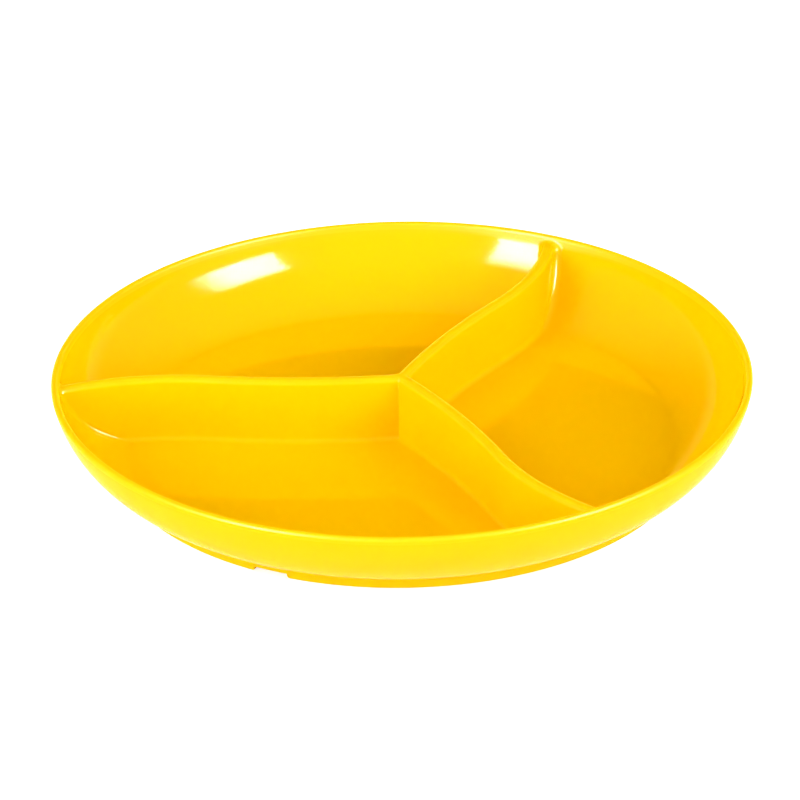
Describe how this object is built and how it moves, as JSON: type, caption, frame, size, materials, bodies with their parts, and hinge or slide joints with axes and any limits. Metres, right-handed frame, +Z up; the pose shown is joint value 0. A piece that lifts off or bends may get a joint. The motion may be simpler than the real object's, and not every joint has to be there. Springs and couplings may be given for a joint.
{
  "type": "divided plate",
  "caption": "Round glossy melamine plate with a flaring wall, whose S-shaped dividers part it into equal food compartments.",
  "frame": {"origin": "centre of the foot ring, on the surface that the plate stands on", "axes": "+Z up along the plate's axis; +X to the right and +Y away from the viewer of the picture; the dividers' base lines leave the hub at 60, 180 and 300 degrees from +X"},
  "size_m": [0.25, 0.25, 0.031],
  "materials": {
    "melamine": "glossy moulded melamine, bright yellow all through"
  },
  "bodies": {
    "root": {"floor_disc": "melamine", "side_wall": "melamine", "divider_back": "melamine", "divider_left": "melamine", "divider_front": "melamine", "foot_arc_back": "melamine", "foot_arc_left": "melamine", "foot_arc_front": "melamine"}
  },
  "joints": []
}
